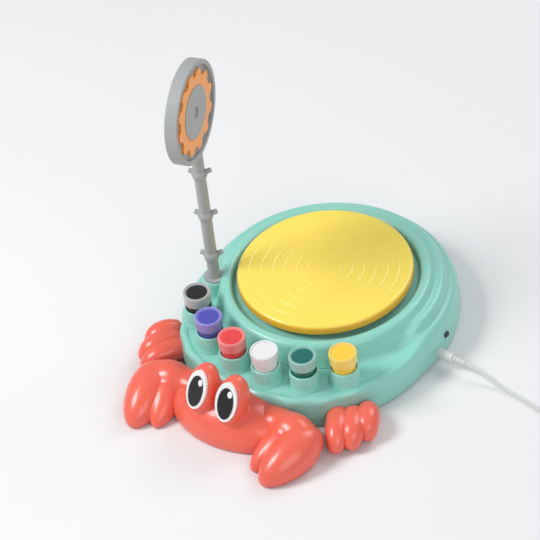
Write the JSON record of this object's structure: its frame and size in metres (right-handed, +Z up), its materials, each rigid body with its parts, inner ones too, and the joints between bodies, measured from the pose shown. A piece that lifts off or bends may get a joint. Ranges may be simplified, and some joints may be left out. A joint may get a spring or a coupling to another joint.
{
  "type": "pottery wheel",
  "caption": "Motorised toy pottery wheel shaped like a hermit crab, with a spinning turntable, lidded paint pots, an upright tool arm and a corded foot pedal.",
  "frame": {"origin": "middle of the wheel's footprint on the table, leaving out the free cord, its plug and the pedal", "axes": "+Z up along the turntable's axis, -Y towards the crab's nose and claws, +X towards the pedal's socket (the crab's left side)"},
  "size_m": [0.4191, 0.3704, 0.272],
  "materials": {
    "teal_plastic": "smooth glossy moulded, blue-green",
    "cover_plastic": "fine satin texture, blue-green",
    "foot_rubber": "matt",
    "screw_steel": "zinc plated",
    "inner_plastic": "plain moulded",
    "cell_jacket": "printed-free jacket",
    "contact_steel": "nickel plated spring strip",
    "gear_nylon": "white nylon",
    "rotor_brass": "turned",
    "pin_steel": "ground",
    "motor_steel": "drawn can",
    "motor_cap": "white end cap",
    "bush_bronze": "sintered bearing",
    "turntable_yellow": "smooth yellow with fine rings",
    "crab_coral": "smooth coral red",
    "eye_white": "gloss white",
    "eye_black": "gloss black",
    "post_grey": "mid grey, branch-like",
    "disc_grey": "mid grey",
    "flower_orange": "orange inlay",
    "board_green": "solder mask",
    "switch_black": "fine texture",
    "cord_pvc": "soft light grey jacket",
    "plug_pvc": "light grey moulded",
    "pedal_grey": "warm grey, satin",
    "pedal_light": "warm light grey, satin",
    "tie_black": "wrapped tie",
    "pot_black": "paint-filled cup",
    "pot_blue": "paint-filled cup",
    "pot_red": "paint-filled cup",
    "pot_white": "paint-filled cup",
    "pot_green": "paint-filled cup",
    "pot_yellow": "paint-filled cup"
  },
  "bodies": {
    "base": {"top_casing": "teal_plastic", "bottom_cover": "cover_plastic", "rubber_feet": "foot_rubber", "casing_screws": "screw_steel", "battery_box": "inner_plastic", "battery_cells": "cell_jacket", "battery_contacts": "contact_steel", "battery_door": "cover_plastic", "gear_pins": "pin_steel", "motor_can": "motor_steel", "motor_end_cap": "motor_cap", "gearbox_case": "inner_plastic", "gearbox_plate": "inner_plastic", "gearbox_screws": "screw_steel", "spindle_bushes": "bush_bronze", "crab_front": "crab_coral", "crab_legs": "crab_coral", "eye_whites": "eye_white", "eye_pupils": "eye_black", "circuit_board": "board_green", "pedal_jack": "switch_black", "switch_housing": "switch_black", "pedal_plug": "plug_pvc", "plug_pin": "contact_steel", "pedal_cord_lead": "cord_pvc", "pedal_cord_coil": "cord_pvc", "pedal_cord_tail": "cord_pvc", "cord_tie": "tie_black", "pedal_base": "pedal_grey", "pedal_gland": "plug_pvc", "pedal_floor": "pedal_grey", "pedal_feet": "foot_rubber", "pedal_spring": "contact_steel", "pedal_switch": "switch_black"},
    "drive": {"output_gear": "gear_nylon", "spindle_shaft": "pin_steel", "drive_hub": "gear_nylon"},
    "turntable": {"turntable": "turntable_yellow"},
    "slow_gear": {"slow_reduction_gear": "gear_nylon"},
    "fast_gear": {"fast_reduction_gear": "gear_nylon"},
    "rotor": {"motor_rotor": "rotor_brass"},
    "arm_collar": {"arm_collar": "post_grey"},
    "tool_arm": {"tool_post": "post_grey", "tool_disc": "disc_grey", "disc_flower": "flower_orange", "disc_centre": "disc_grey"},
    "switch_knob": {"switch_knob": "switch_black"},
    "pedal_button": {"pedal_button": "pedal_light"},
    "pot_black": {"paint_pot_black": "pot_black"},
    "lid_black": {"pot_lid_black": "pot_black"},
    "pot_blue": {"paint_pot_blue": "pot_blue"},
    "lid_blue": {"pot_lid_blue": "pot_blue"},
    "pot_red": {"paint_pot_red": "pot_red"},
    "lid_red": {"pot_lid_red": "pot_red"},
    "pot_white": {"paint_pot_white": "pot_white"},
    "lid_white": {"pot_lid_white": "pot_white"},
    "pot_green": {"paint_pot_green": "pot_green"},
    "lid_green": {"pot_lid_green": "pot_green"},
    "pot_yellow": {"paint_pot_yellow": "pot_yellow"},
    "lid_yellow": {"pot_lid_yellow": "pot_yellow"}
  },
  "joints": [
    {"name": "turntable_spin", "type": "hinge", "parent": "base", "child": "drive", "pos_m": [0, 0.04464, 0.045], "axis": [0, 0, 1], "continuous": true},
    {"name": "turntable_lift", "type": "slide", "parent": "drive", "child": "turntable", "axis": [0, 0, 1], "range_m": [0, 0.03]},
    {"name": "slow_gear_spin", "type": "hinge", "parent": "base", "child": "slow_gear", "pos_m": [0, 0.07524, 0.028], "axis": [0, 0, 1], "continuous": true},
    {"name": "fast_gear_spin", "type": "hinge", "parent": "base", "child": "fast_gear", "pos_m": [0.0098, 0.09222, 0.031], "axis": [0, 0, 1], "continuous": true},
    {"name": "motor_spin", "type": "hinge", "parent": "base", "child": "rotor", "pos_m": [0.0266, 0.09222, 0.035], "axis": [0, 0, 1], "continuous": true},
    {"name": "arm_swivel", "type": "hinge", "parent": "base", "child": "arm_collar", "pos_m": [-0.083, -0.00236, 0.045], "axis": [0, 0, 1], "continuous": true},
    {"name": "arm_lift", "type": "slide", "parent": "arm_collar", "child": "tool_arm", "axis": [0, 0, 1], "range_m": [0, 0.05]},
    {"name": "power_switch_slide", "type": "slide", "parent": "base", "child": "switch_knob", "axis": [0, 1, 0], "range_m": [0, 0.005]},
    {"name": "pedal_press", "type": "slide", "parent": "base", "child": "pedal_button", "axis": [0, 0, -1], "range_m": [0, 0.003], "stiffness_N_per_m": 1500, "springref_m": -0.002, "deforming": ["pedal_spring"]},
    {"name": "pot_lift_black", "type": "slide", "parent": "base", "child": "pot_black", "axis": [0, 0, 1], "range_m": [0, 0.04]},
    {"name": "lid_lift_black", "type": "slide", "parent": "pot_black", "child": "lid_black", "axis": [0, 0, 1], "range_m": [0, 0.02]},
    {"name": "pot_lift_blue", "type": "slide", "parent": "base", "child": "pot_blue", "axis": [0, 0, 1], "range_m": [0, 0.04]},
    {"name": "lid_lift_blue", "type": "slide", "parent": "pot_blue", "child": "lid_blue", "axis": [0, 0, 1], "range_m": [0, 0.02]},
    {"name": "pot_lift_red", "type": "slide", "parent": "base", "child": "pot_red", "axis": [0, 0, 1], "range_m": [0, 0.04]},
    {"name": "lid_lift_red", "type": "slide", "parent": "pot_red", "child": "lid_red", "axis": [0, 0, 1], "range_m": [0, 0.02]},
    {"name": "pot_lift_white", "type": "slide", "parent": "base", "child": "pot_white", "axis": [0, 0, 1], "range_m": [0, 0.04]},
    {"name": "lid_lift_white", "type": "slide", "parent": "pot_white", "child": "lid_white", "axis": [0, 0, 1], "range_m": [0, 0.02]},
    {"name": "pot_lift_green", "type": "slide", "parent": "base", "child": "pot_green", "axis": [0, 0, 1], "range_m": [0, 0.04]},
    {"name": "lid_lift_green", "type": "slide", "parent": "pot_green", "child": "lid_green", "axis": [0, 0, 1], "range_m": [0, 0.02]},
    {"name": "pot_lift_yellow", "type": "slide", "parent": "base", "child": "pot_yellow", "axis": [0, 0, 1], "range_m": [0, 0.04]},
    {"name": "lid_lift_yellow", "type": "slide", "parent": "pot_yellow", "child": "lid_yellow", "axis": [0, 0, 1], "range_m": [0, 0.02]}
  ],
  "couplings": [
    {"joint": "slow_gear_spin", "follows": "turntable_spin", "ratio": -4.6667},
    {"joint": "fast_gear_spin", "follows": "turntable_spin", "ratio": 17.111},
    {"joint": "motor_spin", "follows": "turntable_spin", "ratio": -62.741}
  ]
}
